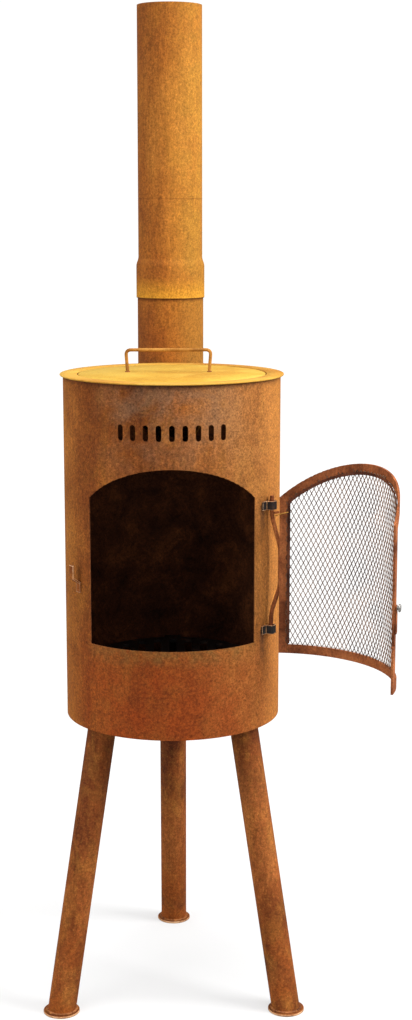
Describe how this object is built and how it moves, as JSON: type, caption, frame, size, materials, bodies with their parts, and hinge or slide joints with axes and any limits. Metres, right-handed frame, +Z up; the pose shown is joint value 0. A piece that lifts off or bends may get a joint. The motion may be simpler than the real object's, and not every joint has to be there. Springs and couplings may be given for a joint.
{
  "type": "garden chiminea stove",
  "caption": "Round steel garden stove on three splayed legs with an arched doorway, a curved mesh door, a lift-off lid and a tall flue behind the drum.",
  "frame": {"origin": "the point of the ground under the drum's axis", "axes": "+Z up, the doorway faces -Y, +X to the right as seen from in front"},
  "size_m": [0.5005, 0.5849, 1.494],
  "materials": {
    "rusted_steel": "weathering steel with a matt brown to orange patina",
    "orange_rust": "weathering steel with a matt orange patina",
    "ochre_rust": "weathering steel with fresh ochre rust",
    "dark_rust": "dark reddish-brown rusted steel bar and wire",
    "sooty_iron": "black heat-scaled, sooty iron",
    "bare_steel": "dull grey zinc-plated steel"
  },
  "bodies": {
    "stove": {"drum_shell": "rusted_steel", "drum_floor": "rusted_steel", "top_ring": "ochre_rust", "lid_seat": "dark_rust", "grate_lug_left": "sooty_iron", "grate_lug_right": "sooty_iron", "grate_lug_back": "sooty_iron", "flue_tee": "orange_rust", "flue_saddle": "rusted_steel", "flue_clean_out_cap": "dark_rust", "leg_left": "rusted_steel", "leg_right": "rusted_steel", "leg_back": "rusted_steel", "leg_pad_left": "dark_rust", "leg_pad_right": "dark_rust", "leg_pad_back": "dark_rust", "leg_bolt_left": "sooty_iron", "leg_bolt_right": "sooty_iron", "leg_bolt_back": "sooty_iron", "foot_left": "ochre_rust", "foot_right": "ochre_rust", "foot_back": "ochre_rust", "hinge_strap_top": "sooty_iron", "hinge_strap_bottom": "sooty_iron", "drum_catch": "dark_rust"},
    "door": {"door_frame": "dark_rust", "door_mesh": "dark_rust", "hinge_rod": "dark_rust", "hinge_tie": "dark_rust", "latch_stud": "bare_steel"},
    "latch": {"latch_lever": "dark_rust"},
    "lid": {"lid_disc": "ochre_rust", "lid_handle": "ochre_rust"},
    "upper_flue": {"flue_pipe": "orange_rust"},
    "grate": {"fire_grate": "sooty_iron"}
  },
  "joints": [
    {"name": "door_hinge", "type": "hinge", "parent": "stove", "child": "door", "pos_m": [0.14372, -0.08466, 0.672], "axis": [0, 0, 1], "range_deg": [-119, 40]},
    {"name": "latch_pivot", "type": "hinge", "parent": "door", "child": "latch", "pos_m": [0.29605, -0.30558, 0.6645], "axis": [-0.9451, 0.3268, 0], "range_deg": [-120, 120]},
    {"name": "lid_lift", "type": "slide", "parent": "stove", "child": "lid", "axis": [0, 0, 1], "range_m": [0, 0.25]},
    {"name": "flue_lift", "type": "slide", "parent": "stove", "child": "upper_flue", "axis": [0, 0, 1], "range_m": [0, 0.12]},
    {"name": "grate_lift", "type": "slide", "parent": "stove", "child": "grate", "axis": [0, 0, 1], "range_m": [0, 0.3]}
  ]
}
